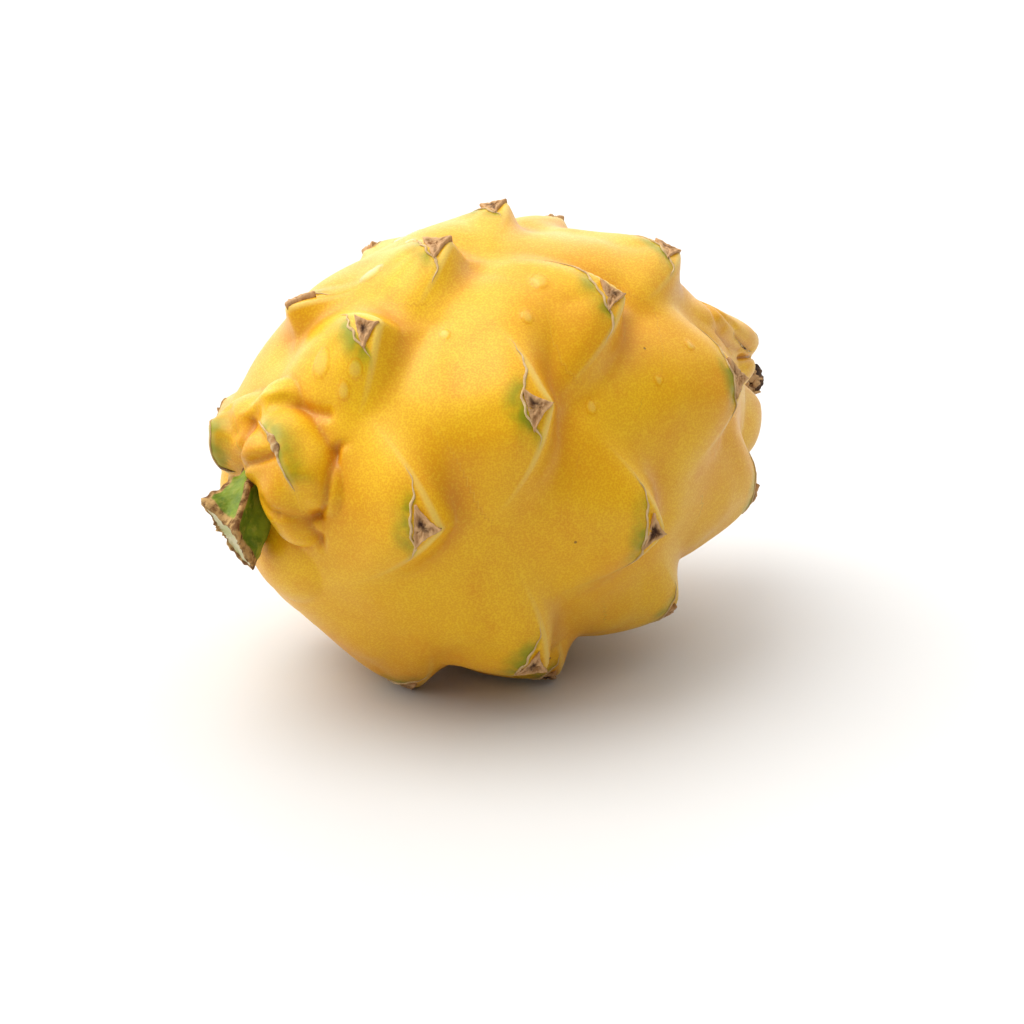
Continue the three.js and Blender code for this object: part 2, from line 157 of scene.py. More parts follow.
def allTubercles():
    stands = [{**plainTubercle, **item} for item in seenTubercles]
    longOnes = [{**plainFlowerLobe, **item} for item in flowerLobes]
    taken = [placeAt(item)["point"] for item in stands + stalkLobes + longOnes]
    draw = makeDraw(rows["seed"])
    for j in range(-rows["count"], rows["count"] + 1):
        for i in range(-rows["count"] + 1, rows["count"]):
            item = dict(rowPlain)
            for k, key in enumerate(("station", "angle")):
                crossing = rows["start"][k] + i * rows["along"][k] + j * rows["across"][k]
                item[key] = crossing + stray[key] * draw()
            if not rows["from"] <= item["station"] <= rows["to"]:
                continue
            for key in ("dome", "lip", "turn"):
                item[key] += stray[key] * draw()
            point = placeAt(item)["point"]
            if all(np.linalg.norm(other - point) > rows["clear"] for other in taken):
                stands.append(item)
                taken.append(point)
    lobes = [{**placeAt(item, 180), "roundness": roundness["stalk"]} for item in stalkLobes]
    lobes += [{**placeAt(item), "roundness": roundness["flower"]} for item in longOnes]
    return [placeAt(item) for item in stands], lobes


stands, lobes = allTubercles()
print("tubercles:", len(stands), "lobes:", len(lobes))


# How far points lie ahead of a place and to its side, along the surface, and which are near it.
def offsetFrom(place, point, normal):
    away = point - place["point"]
    distance = np.linalg.norm(away, axis=1)
    ahead, side = away @ place["ahead"], away @ place["side"]
    scale = distance / (np.hypot(ahead, side) + 1e-9)
    near = np.nonzero((distance < form["farthest"]) & (normal @ place["normal"] > form["facing"]))[0]
    return near, (ahead * scale)[near], (side * scale)[near]


def smoothMin(a, b, width):
    h = np.clip(0.5 + 0.5 * (b - a) / width, 0, 1)
    return b + (a - b) * h - width * h * (1 - h)


# Where a tubercle's crest lies at a distance to the side of its beak.
def crestAhead(t, side):
    fromMiddle = np.sqrt(side * side + 0.5) - math.sqrt(0.5)
    arm = np.where(side < 0, t["upper"], 1)
    nose = t["nose"] * (1 - np.exp(-fromMiddle / form["noseHalf"]))
    return -(nose + arm * (t["sweep"] * fromMiddle + side * side / t["bend"]))


def shieldAhead(t, side):
    half = np.where(side < 0, shield["upperHalf"], shield["half"])
    return crestAhead(t, side) - shield["deep"] * np.exp(-(side / half) ** 2)


# Ridges (high above 0) and creases (below 0) along short paths of station and angle. "shield" is
# how wide a ridge falls off on the side where its shield lies, "scar" and "green" are places on it,
# "broad" is how wide the line is at the scar, and "flank" colours a ridge on both its sides.
folds = [
    dict(path=[(-50.1, -2), (-49.9, 22), (-49.8, 30), (-49.9, 37), (-50.2, 45), (-50.2, 54), (-50.5, 64)],
         high=2, wide=0.9, shield=4, scar=0.45, green=0.62),
    dict(path=[(-52.7, -48), (-52.3, -54), (-52, -46), (-51.6, -36), (-51, -30), (-49.7, -37)], high=1.3,
         wide=1.2, shield=2.5, scar=0.1, green=0.5, broad=0.3, flank=True),
    dict(path=[(-50.1, 38), (-52, 28), (-52.9, -5)], high=-1.4, wide=0.8),
    dict(path=[(-45.4, 49.5), (-46.8, 48.3), (-47.6, 54), (-48.1, 60), (-48.6, 68), (-49.2, 76),
         (-50.2, 82), (-50.9, 87), (-50.7, 93), (-50.4, 102), (-50, 111)], high=-1.5, wide=0.8),
    dict(path=[(-50.8, 85), (-51.4, 81), (-51.8, 77), (-52.2, 79)], high=-1, wide=0.8),
    dict(path=[(-48.1, 32), (-49, 47), (-50.1, 69)], high=-0.4, wide=1.2),
    dict(path=[(-49.7, -9), (-51.2, -1), (-52.2, -1), (-52.7, -19)], high=-1.4, wide=1),
    dict(path=[(-48.7, -32), (-50.5, -21), (-51.6, -11)], high=-0.9, wide=0.9),
    dict(path=[(-52.6, 55), (-52.6, 72), (-51.9, 77)], high=-1, wide=0.8),
    dict(path=[(-49.8, -9), (-48.8, -6), (-48.1, 4), (-46.8, 10), (-46.8, 14), (-47.9, 20)], high=0.7,
         wide=1),
    dict(path=[(-46.8, 8), (-47.3, 18), (-46.8, 26), (-44.9, 36)], high=-0.9, wide=1.3),
    dict(path=[(42, 35), (41, 43), (41.6, 47), (45, 49.3)], high=-0.7, wide=0.9),
    dict(path=[(41.3, 31.2), (43.7, 38.1), (44.4, 43.8), (48.9, 46.1)], high=-0.8, wide=0.8),
    dict(path=[(40.2, 48.4), (45.2, 53), (51.3, 54.4), (55.2, 56.3)], high=-1, wide=0.9),
    dict(path=[(47.5, 48.2), (51.5, 50.4), (54.5, 52.7), (57.4, 55.3)], high=-1.3, wide=0.5, scar=0.6,
         broad=0.2),
    dict(path=[(57.5, 40), (59.5, 46), (60, 52)], high=0.1, wide=0.5, scar=0.5, broad=0.35),
    dict(path=[(54, 60), (56.5, 59.5), (59.5, 58.5)], high=-1.1, wide=0.7),
]


def smoothPath(points, rounds=3):
    points = [np.array(point, dtype=float) for point in points]
    for _ in range(rounds):
        cut = [points[0]]
        for a, b in zip(points[:-1], points[1:]):
            cut += [0.75 * a + 0.25 * b, 0.25 * a + 0.75 * b]
        points = cut + [points[-1]]
    return points


# How far each point is from a path (below 0 on its left), and its place along it, from 0 to 1.
def alongPath(path, point, normal):
    nodes = baseAt(np.array([wayAt(station, angle) for station, angle in smoothPath(path)]))[0]
    steps = np.linalg.norm(np.diff(nodes, axis=0), axis=1)
    distance, place, side = np.full(len(point), 1e9), np.zeros(len(point)), np.zeros(len(point))
    done = 0
    for a, b, step in zip(nodes[:-1], nodes[1:], steps):
        t = np.clip((point - a) @ (b - a) / step ** 2, 0, 1)
        away = point - a - t[:, None] * (b - a)
        length = np.linalg.norm(away, axis=1)
        closer = length < distance
        place[closer] = (done + t[closer] * step) / sum(steps)
        side[closer] = np.sign(np.sum(np.cross(normal[closer], b - a) * (point[closer] - a), axis=1))
        distance = np.minimum(distance, length)
        done += step
    return distance * side, place


def bell(x):
    return np.exp(-x ** 2)


def halfWave(x):
    return np.cos(np.clip(x, 0, 1) * math.pi / 2) ** 2


# How high the rind stands above its base and how far its lips lean. "edge" is how far a point lies
# ahead of the nearest crest, "inner" how far it lies ahead of the line where its shield ends, and
# "off" how far it lies to the side of the beak, all "farAway" where no crest is near.
farAway = 20.0


def reliefAt(point, normal):
    count = len(point)
    domes, lips, lean = np.zeros(count), np.zeros(count), np.zeros((count, 3))
    marks = {name: np.full(count, farAway) for name in ("edge", "inner", "off")}
    marks["wing"] = np.zeros(count)
    nearest = np.zeros(count)
    for t in stands:
        near, ahead, side = offsetFrom(t, point, normal)
        off = np.abs(side)
        edge = ahead - crestAhead(t, side)
        fromDome = ahead + t["back"]
        reach = np.where(fromDome > 0, fromDome / form["ahead"], fromDome) / t["long"]
        cut = 1 - form["cut"] * np.clip((edge + 0.5) / (form["cutReach"] * t["front"]), 0, 1)
        domes[near] += t["dome"] * np.exp(-reach ** 2 - (off / t["half"]) ** 2) * cut
        wing = np.exp(-(off / t["reach"]) ** form["wing"])
        domes[near] -= t["trough"] * wing * bell((edge - form["troughAhead"]) / form["troughHalf"])
        ledge = bell((edge + form["ledgeBehind"]) / form["ledgeHalf"])
        domes[near] -= t["ledge"] * ledge * bell(off / form["ledgeWide"])
        rise = halfWave(-edge / np.maximum(form["leastSlope"], t["slope"] - form["slopeLoss"] * off))
        past = np.clip(edge / (t["front"] + form["frontGain"] * off), 0, 1)
        fall = 0.5 * (1 - past) ** 1.7 + 0.5 * halfWave(past)
        softness = form["crisp"] + form["soft"] * (1 - bell(off / form["crispHalf"]))
        lip = t["lip"] * wing * np.maximum(0, smoothMin(rise, fall, softness))
        beakAhead = np.clip(1 - edge / form["beakHalf"], 0, 1) ** 1.5
        beakLength = np.where(edge < 0, bell(edge / form["beakBehind"]), beakAhead)
        beak = t["beak"] * np.exp(-np.sqrt(off ** 2 + 0.8) / form["beakHalf"]) * beakLength
        lips[near] += (lip + beak) ** 3
        lean[near] += t["ahead"] * (t["lean"] * wing * bell(edge / form["leanHalf"]))[:, None]
        close = wing * bell(edge / form["markHalf"])
        mine = close > nearest[near]
        chosen = near[mine]
        nearest[chosen] = close[mine]
        inner = ahead - shieldAhead(t, side)
        for name, values in (("edge", edge), ("inner", inner), ("off", off), ("wing", wing)):
            marks[name][chosen] = values[mine]
    for lobe in lobes:
        near, ahead, side = offsetFrom(lobe, point, normal)
        along = ahead / np.where(ahead < 0, lobe["out"], lobe["inner"])
        round_ = np.clip(1 - along ** 2 - (side / lobe["half"]) ** 2, 0, 1) ** lobe["roundness"]
        lips[near] += (lobe["high"] * round_) ** 3
        lean[near, 0] += lobe.get("stretch", 0) * round_ ** roundness["stretch"]
        lean[near, 2] -= lobe.get("droop", 0) * round_ ** roundness["stretch"]
    # How deep the creases run, kept for the painted shade in them.
    creaseShade = np.zeros(count)
    for fold in folds:
        distance, place = alongPath(fold["path"], point, normal)
        wide = np.where(distance > 0, fold.get("shield", fold["wide"]), fold["wide"])
        fade = np.clip(6 * np.minimum(place, 1 - place) + 0.15, 0, 1)
        shape = bell(distance / wide) * fade
        domes += fold["high"] * shape
        if fold["high"] < 0:
            creaseShade = np.maximum(creaseShade, shape * min(1, -fold["high"] / 1.2) ** 2)
        elif "green" in fold:
            close = 1.5 * bell(distance / 4)
            chosen = close > nearest
            nearest[chosen] = close[chosen]
            behind = np.abs(distance[chosen]) if "flank" in fold else distance[chosen]
            marks["edge"][chosen] = marks["inner"][chosen] = -behind
            marks["off"][chosen] = 12 * np.abs(place[chosen] - fold["green"])
            marks["wing"][chosen] = fade[chosen]
    marks["creaseShade"] = creaseShade
    return domes + np.cbrt(lips) - body["sink"], lean, marks


def rolling(point):
    x, y, z = 0.1 * point[:, 0], 0.1 * point[:, 1], 0.1 * point[:, 2]
    broad = np.sin(1.1 * x + 1.7 * y + 0.6) * np.sin(1.3 * z - 0.7 * x + 1)
    fine = np.sin(2.3 * y - 1.1 * z + 2) * np.sin(1.9 * x + 0.4)
    return 0.35 * (broad + fine)


def rindAt(way):
    point, normal = baseAt(way)
    height, lean, marks = reliefAt(point, normal)
    return point + normal * (height + rolling(point))[:, None] + lean, height, marks


# From the fruit's own frame, in millimetres, to where it lies, in metres.
def lay(points):
    a = math.radians(lie["tilt"])
    x, y, z = points[:, 0], points[:, 1], points[:, 2]
    return np.stack([x * math.cos(a) - z * math.sin(a) - lie["middleX"], y - lie["middleY"],
                     x * math.sin(a) + z * math.cos(a) + lie["height"]], axis=1) * mm


def cubeSphere(cells):
    line = np.tan(np.linspace(-1, 1, cells + 1) * math.pi / 4)
    u, v = np.meshgrid(line, line, indexing="ij")
    one = np.ones_like(u)
    sides = [(one, u, v), (-one, v, u), (v, one, u), (u, -one, v), (u, v, one), (v, u, -one)]
    points = np.concatenate([np.stack(side, axis=-1).reshape(-1, 3) for side in sides])
    keys = np.round(points * 1e6).astype(np.int64)
    _, first, inverse = np.unique(keys, axis=0, return_index=True, return_inverse=True)
    i, j = np.meshgrid(np.arange(cells), np.arange(cells), indexing="ij")
    a = (i * (cells + 1) + j).ravel()
    quads = np.stack([a, a + cells + 1, a + cells + 2, a + 1], axis=1)
    faces = np.concatenate([quads + side * (cells + 1) ** 2 for side in range(6)])
    return unit(points[first]), inverse.ravel()[faces]


def addObject(name, data):
    item = bpy.data.objects.new(name, data)
    bpy.context.scene.collection.objects.link(item)
    return item


def makeMesh(name, points, faces=()):
    mesh = bpy.data.meshes.new(name)
    mesh.from_pydata([tuple(p) for p in points], [], [tuple(int(i) for i in f) for f in faces])
    return mesh


def setAttribute(mesh, name, values, kind="FLOAT"):
    key = "value" if kind == "FLOAT" else "vector"
    layer = mesh.attributes.new(name, kind, "POINT")
    layer.data.foreach_set(key, np.asarray(values, dtype=np.float32).ravel())


def makePiece(name, points, faces, attributes=None):
    mesh = makeMesh(name, points, faces)
    for attribute, values in (attributes or {}).items():
        setAttribute(mesh, attribute, values)
    mesh.polygons.foreach_set("use_smooth", [True] * len(mesh.polygons))
    mesh.update()
    return addObject(name, mesh)


# Gives a node's socket a value, or links another node's output to it.
def feed(tree, socket, value):
    if isinstance(value, bpy.types.NodeSocket):
        tree.links.new(value, socket)
    else:
        socket.default_value = value


def colourOf(code):
    parts = [int(code[k:k + 2], 16) / 255 for k in (0, 2, 4)]
    return tuple(c / 12.92 if c <= 0.04045 else ((c + 0.055) / 1.055) ** 2.4 for c in parts) + (1,)


# Short names for the nodes that the trees use.
class Shade:
    def __init__(self, tree):
        self.tree = tree

    def make(self, kind, inputs=None, **settings):
        node = self.tree.nodes.new(kind)
        for key, value in settings.items():
            setattr(node, key, value)
        for key, value in (inputs or {}).items():
            feed(self.tree, node.inputs[key], value)
        return node

    def coordinates(self):
        return self.make("ShaderNodeTexCoord").outputs["Object"]

    def attribute(self, name):
        return self.make("ShaderNodeAttribute", attribute_name=name).outputs["Fac"]

    def noise(self, where, scale, detail=2, roughness=0.5):
        return self.make("ShaderNodeTexNoise", {"Vector": where, "Scale": scale, "Detail": detail,
                                                "Roughness": roughness}).outputs["Fac"]

    def cells(self, where, scale, randomness=1):
        return self.make("ShaderNodeTexVoronoi", {"Vector": where, "Scale": scale, "Randomness": randomness})

    def smooth(self, value, low, high, toLow=0, toHigh=1):
        inputs = {"Value": value, "From Min": low, "From Max": high, "To Min": toLow, "To Max": toHigh}
        return self.make("ShaderNodeMapRange", inputs, interpolation_type="SMOOTHSTEP").outputs["Result"]

    def calc(self, operation, a, b=0):
        return self.make("ShaderNodeMath", {0: a, 1: b}, operation=operation).outputs[0]

    def times(self, *values):
        result = values[0]
        for value in values[1:]:
            result = self.calc("MULTIPLY", result, value)
        return result

    def mix(self, share, a, b):
        first, second = [colourOf(c) if isinstance(c, str) else c for c in (a, b)]
        return self.make("ShaderNodeMix", {0: share, 6: first, 7: second}, data_type="RGBA").outputs[2]

    def stretch(self, where, x, y, z):
        return self.make("ShaderNodeVectorMath", {0: where, 1: (x, y, z)}, operation="MULTIPLY").outputs[0]

    def bump(self, height, distance, strength):
        inputs = {"Height": height, "Distance": distance, "Strength": strength}
        return self.make("ShaderNodeBump", inputs).outputs["Normal"]


def newMaterial(name):
    material = bpy.data.materials.new(name)
    material.use_nodes = True
    material.node_tree.nodes.clear()
    return material, Shade(material.node_tree)


def finishMaterial(shade, **inputs):
    names = {key.replace("_", " "): value for key, value in inputs.items()}
    shader = shade.make("ShaderNodeBsdfPrincipled", names)
    shade.make("ShaderNodeOutputMaterial", {"Surface": shader.outputs[0]})


# Averages values over neighbouring points again and again.
def smoothOver(values, faces, rounds):
    a, b = faces.ravel(), np.roll(faces, -1, axis=1).ravel()
    start, end = np.concatenate([a, b]), np.concatenate([b, a])
    share = np.bincount(start, minlength=len(values))
    for _ in range(rounds):
        around = np.bincount(start, weights=values[end], minlength=len(values)) / share
        values = 0.5 * values + 0.5 * around
    return values


# Water drops: some in chosen places (station, angle, half width, half length), and "more" scattered
# over the upper half round a middle, each drawn within "spread" of it. A drop is narrower at its top.
drops = {"placed": [(-41.9, 16.7, 1.5, 2.2), (-39.7, 29.3, 1, 1.3), (-42.3, 31.2, 1, 1.5),
                    (-24.6, -1.2, 0.8, 1), (-25.1, 33.2, 0.7, 0.9), (-5.3, 32.1, 0.8, 1.1),
                    (-11.9, 40, 0.8, 1.1), (-5.6, 65.4, 1.1, 1.5), (10.2, 63.7, 0.8, 1.1),
                    (20.4, 57.3, 0.8, 1)],
         "more": 14, "middle": (2, -80, 0.8), "spread": (40, 75, 0.3), "stretch": 1.25, "narrow": 0.18,
         "steep": 0.3, "seed": 21, "high": 0.26}


def allDrops():
    draw = makeDraw(drops["seed"])
    places = list(drops["placed"])
    for _ in range(drops["more"]):
        (station, angle, size), spread = drops["middle"], drops["spread"]
        size += spread[2] * draw()
        station += spread[0] * draw()
        angle += spread[1] * draw()
        places.append((station, angle, size, drops["stretch"] * size))
    return [{**placeAt({"station": station, "angle": angle}), "wide": wide, "long": long}
            for station, angle, wide, long in places]


def dropsAt(way):
    point, normal = baseAt(way)
    mark = np.zeros(len(way))
    for drop in allDrops():
        near, ahead, side = offsetFrom(drop, point, normal)
        fallAhead, fallSide = -drop["ahead"][2], -drop["side"][2]
        down, level = fallSide * side + fallAhead * ahead, fallSide * ahead - fallAhead * side
        wide = drop["wide"] * (1 - drops["narrow"] * np.clip(-down / drop["long"], -1, 1))
        if math.hypot(fallSide, fallAhead) <= drops["steep"]:
            down, level = side, ahead
        away = (level / wide) ** 2 + (down / drop["long"]) ** 2
        mark[near] = np.maximum(mark[near], 1 - away)
    return np.clip(mark, 0, 1)


rindValues = {"cells": 127, "fineRounds": 18, "broadRounds": 150}
ways, rindFaces = cubeSphere(rindValues["cells"])
rindPoints, rindHeight, rindMarks = rindAt(ways)
rindMarks["high"] = rindHeight
# How far each point lies below its near neighbourhood, kept for the painted shade in small hollows.
rindMarks["hollow"] = smoothOver(rindHeight, rindFaces, rindValues["fineRounds"]) - rindHeight
# How far each point lies below its broad neighbourhood, kept for the painted shade in the valleys.
rindMarks["valleyShade"] = smoothOver(rindHeight, rindFaces, rindValues["broadRounds"]) - rindHeight
rindMarks["drop"] = dropsAt(ways)
rindPoints = rindPoints + baseAt(ways)[1] * (drops["high"] * np.sqrt(rindMarks["drop"]))[:, None]
laid = lay(rindPoints)
laid[:, 2] = np.maximum(laid[:, 2], 0)
rind = makePiece("rindSkin", laid, rindFaces, rindMarks)
print("rind:", len(rindFaces) * 2, "triangles")

# The rind's colours. The brown and the foot colour serve only as painted shade and the pale one as a painted
# highlight; the orange serves both real blotches and painted shade in the valleys, and the pore colour both
# real pores and painted shade at the drop rims.
rindLook = {
    "gold": "DEA003", "light": "E6B60E", "orange": "D07C04", "shadeBrown": "B0680E", "pore": "D28202",
    "net": "ECC22A", "green": "748400", "highlightPale": "DFC66B", "speck": "623818", "footShade": "BC740A"
}


def rindMaterial():
    material, s = newMaterial("rind skin")
    where = s.coordinates()
    edge, off, wing = s.attribute("edge"), s.attribute("off"), s.attribute("wing")
    inner, drop = s.attribute("inner"), s.attribute("drop")
    blotch = s.noise(where, 130, 4, 0.6)
    fine = s.noise(where, 900, 3, 0.6)
    # Painted shade: the steep front below each crest and the trough ahead of it turn darker orange.
    footShade = s.times(s.smooth(edge, 1.5, 4), s.smooth(edge, 9, 5), s.smooth(off, 15, 4))
    away = s.cells(where, 2700, randomness=0.8).outputs["Distance"]
    pore = s.smooth(away, 0.72, 0.3)
    # Painted highlight: a pale line along each crest, fading out along its arms.
    crest = s.times(s.smooth(edge, -1.1, -0.2), s.smooth(edge, 1, 0.2), s.smooth(off, 18, 8), wing)
    behind = s.times(s.smooth(inner, -4, -0.3), s.smooth(inner, 0.7, 0))
    beside = s.times(s.smooth(off, 8, 2), s.smooth(wing, 0.3, 0.8))
    patchy = s.smooth(s.noise(where, 210, 2), 0.35, 0.6)
    green = s.times(behind, beside, s.calc("ADD", 0.35, s.times(patchy, 0.65)))
    specks = s.cells(where, 150)
    one = s.make("ShaderNodeSeparateColor", {0: specks.outputs["Color"]}).outputs[1]
    speck = s.times(s.smooth(specks.outputs["Distance"], 0.055, 0.03), s.smooth(one, 0.72, 0.74))
    # Painted shade: a darker ring round the edge of each water drop.
    dropRimShade = s.times(s.smooth(drop, 0.02, 0.2), s.smooth(drop, 0.5, 0.2))
    layers = [
        ("light", s.smooth(s.noise(where, 38, 3), 0.35, 0.65)),
        # Painted shade: the broad valleys between the domes turn orange, the more the deeper they lie.
        ("orange", s.smooth(s.attribute("valleyShade"), 0, 2.3, 0, 0.85)),
        ("orange", s.smooth(blotch, 0.5, 0.75, 0, 0.35)),
        # Painted shade: small hollows darken to brown.
        ("shadeBrown", s.times(s.smooth(s.attribute("hollow"), 0.15, 0.8), 0.45)),
        # Painted shade: the creases darken to brown.
        ("shadeBrown", s.times(s.smooth(s.attribute("creaseShade"), 0.35, 0.95), 0.55)),
        # Painted shade below the crests.
        ("footShade", s.times(footShade, 0.5)),
        ("pore", s.times(pore, 0.4)),
        ("net", s.smooth(away, 0.5, 0.85, 0, 0.3)),
        # Painted highlight along the crests.
        ("highlightPale", s.times(crest, 0.55)),
        ("green", s.times(green, 0.85)),
        ("speck", s.times(speck, 0.8)),
        # Painted shade at the drop rims, in the pore colour.
        ("pore", s.times(dropRimShade, 0.35)),
        # Painted highlight: the middle of each water drop is lighter.
        ("highlightPale", s.times(s.smooth(drop, 0.3, 0.9), 0.3)),
    ]
    colour = rindLook["gold"]
    for name, share in layers:
        colour = s.mix(share, colour, rindLook[name])
    dry = s.calc("SUBTRACT", 1, s.smooth(drop, 0.02, 0.12))
    relief = s.calc("ADD", s.times(fine, 0.5), s.times(blotch, 0.5))
    normal = s.bump(s.times(relief, dry), 0.00007, 0.7)
    rough = s.calc("ADD", s.smooth(blotch, 0.3, 0.7, 0.38, 0.48), s.times(pore, 0.1))
    rough = s.calc("ADD", s.times(rough, dry), s.times(s.smooth(drop, 0.02, 0.12), 0.08))
    finishMaterial(s, Base_Color=colour, Roughness=rough, Normal=normal, IOR=1.45,
                   Specular_IOR_Level=0.4, Specular_Tint=(1, 0.85, 0.4, 1), Subsurface_Weight=0.08,
                   Subsurface_Radius=(0.004, 0.002, 0.0006), Coat_Weight=0.3, Coat_Roughness=0.3)
    return material


rind.data.materials.append(rindMaterial())
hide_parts("rind")
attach(rind, "root")


# The ways to points that lie so far ahead of a place and to its side, along the surface.
def waysNear(place, ahead, side):
    guess = place["point"] + ahead[:, None] * place["ahead"] + side[:, None] * place["side"]
    for _ in range(5):
        length = np.where(guess[:, 0] < 0, body["stalkLength"], body["flowerLength"])
        x = np.clip(guess[:, 0] / length, -0.999, 0.999)
        across = np.sqrt(1 - x * x) / np.hypot(guess[:, 1], guess[:, 2])
        way = np.stack([x, guess[:, 1] * across, guess[:, 2] * across], axis=1)
        away = baseAt(way)[0] - place["point"]
        nowAhead, nowSide = away @ place["ahead"], away @ place["side"]
        scale = np.linalg.norm(away, axis=1) / (np.hypot(nowAhead, nowSide) + 1e-9)
        guess = guess + (ahead - nowAhead * scale)[:, None] * place["ahead"]
        guess = guess + (side - nowSide * scale)[:, None] * place["side"]
    return way


# Points on the finished rind and the directions out of it there, from the ways to them and to
# points a step ahead and a step to the side.
def surfaceAt(ways, outward):
    here, front, right = (rindAt(way)[0] for way in ways)
    out = unit(np.cross(front - here, right - here))
    return here, out * np.sign(np.sum(out * outward, axis=1))[:, None]


def onRind(place, ahead, side, step=0.5):
    ahead, side = (np.atleast_1d(v).astype(float) for v in np.broadcast_arrays(ahead, side))
    steps = ((0, 0), (step, 0), (0, step))
    return surfaceAt([waysNear(place, ahead + a, side + b) for a, b in steps], place["normal"])


def turnsOf(sides):
    return np.arange(sides) * 2 * math.pi / sides


# A closed tube of oval section along a row of points, flat ends closed with a point.
def sweep(points, normals, wide, high, sides):
    heading = unit(np.gradient(points, axis=0))
    across = unit(np.cross(heading, normals))
    up = np.cross(across, heading)
    turn = turnsOf(sides)
    rings = (points[:, None] + (wide[:, None] * np.cos(turn))[..., None] * across[:, None]
             + (high[:, None] * np.sin(turn))[..., None] * up[:, None])
    return closedLoft(rings)


# Points and faces through rings of points, with a point in the middle of each end.
def closedLoft(rings):
    count, sides = rings.shape[:2]
    points = np.concatenate([rings.reshape(-1, 3), rings[0].mean(0)[None], rings[-1].mean(0)[None]])
    k = np.arange(sides)
    after = (k + 1) % sides
    faces = []
    for r in range(count - 1):
        a = r * sides
        faces += np.stack([a + k, a + after, a + sides + after, a + sides + k], axis=1).tolist()
    last = (count - 1) * sides
    faces += np.stack([np.full(sides, count * sides), after, k], axis=1).tolist()
    faces += np.stack([np.full(sides, count * sides + 1), last + k, last + after], axis=1).tolist()
    volume = sum(float(np.dot(points[f[0]], np.cross(points[f[i]], points[f[i + 1]])))
                 for f in faces for i in range(1, len(f) - 1))
    return points, (faces if volume > 0 else [f[::-1] for f in faces])


def joinShapes(shapes):
    points, faces, start = [], [], 0
    for shapePoints, shapeFaces in shapes:
        points.append(shapePoints)
        faces += [[i + start for i in f] for f in shapeFaces]
        start += len(shapePoints)
    return np.concatenate(points), faces


# The thin woody line that runs along each crest, half sunk in the rind.
crestValues = {
    "upper": 0.92, "lower": 6.5, "spread": 1.8, "wide": 0.24, "high": 0.2, "waver": 0.12, "lift": 0.08,
    "fadeUpper": 6, "fadeLower": 3, "thinnest": 0.05, "knots": 0.3, "steps": 60, "sides": 6, "seed": 5
}


def crestShapes():
    v = crestValues
    draw = makeDraw(v["seed"])
    shapes = []
    for t in stands:
        upper = v["upper"] * t["reach"] + v["spread"] * draw()
        lower = v["lower"] + v["spread"] * draw()
        off = np.linspace(-upper, lower, v["steps"])
        waver = v["waver"] * np.sin(2.3 * off + 3 * draw())
        points, normals = onRind(t, shieldAhead(t, off) + waver, off)
        taper = np.minimum((off + upper) / v["fadeUpper"], (lower - off) / v["fadeLower"])
        taper = np.clip(taper, v["thinnest"], 1)
        taper = taper * (1 + v["knots"] * np.sin(2.1 * off + 3 * draw()) * np.sin(3.7 * off + 2))
        lifted = points + v["lift"] * normals
        shapes.append(sweep(lifted, normals, v["wide"] * taper, v["high"] * taper, v["sides"]))
    return joinShapes(shapes)


# The same line along each fold that has a scar, broadest there.
foldLine = {"thin": 0.13, "broad": 0.7, "scarHalf": 0.13, "markHalf": 0.16, "lift": 0.05, "sunk": 0.3,
            "high": 0.16, "share": 0.3, "sides": 10}


def foldCrests():
    v = foldLine
    shapes = []
    for fold in [fold for fold in folds if "scar" in fold]:
        path = np.array(smoothPath(fold["path"], 4))
        ways = [np.array([wayAt(station + ahead, angle + aside) for station, angle in path])
                for ahead, aside in ((0, 0), (0.2, 0), (0, 2))]
        here, out = surfaceAt(ways, baseAt(ways[0])[1])
        place = np.linspace(0, 1, len(path))
        fromScar, fromEnd = place - fold["scar"], np.minimum(place, 1 - place)
        wide = v["thin"] + fold.get("broad", v["broad"]) * bell(fromScar / v["scarHalf"])
        wide = wide * np.clip(5 * fromEnd, 0.05, 1)
        lift = v["lift"] - v["sunk"] * (1 - np.clip(8 * fromEnd, 0, 1))
        shape = sweep(here + lift[:, None] * out, out, wide * (1 + 0.25 * np.sin(40 * place)),
                      v["high"] + v["share"] * wide, v["sides"])
        rim = np.repeat(1 - bell(fromScar / v["markHalf"]), v["sides"])
        shapes.append((shape, np.concatenate([rim, [1, 1]])))
    return shapes


thin = crestShapes()
broad, broadRims = zip(*foldCrests())
points, faces = joinShapes([thin] + list(broad))
crestRims = np.concatenate([np.ones(len(thin[0])), *broadRims])
crests = makePiece("crestLines", lay(points), faces, {"rim": crestRims})
print("crest lines:", len(faces))

# One dry tip: a woody three-cornered cup with a raised rim. X runs ahead, Y to the side, Z out.
tipValues = {
    "ahead": 2.7, "behind": -1.65, "half": 3.7, "middle": -0.3, "hollow": 0.4, "bulge": -0.1, "sides": 60,
    "rings": 10, "rim": 0.75, "floor": 0.6, "root": -1.4, "fibres": 9, "fibreHigh": 0.16, "lipWide": 1.05,
    "lipDrop": 0.3, "rootWide": 0.9
}


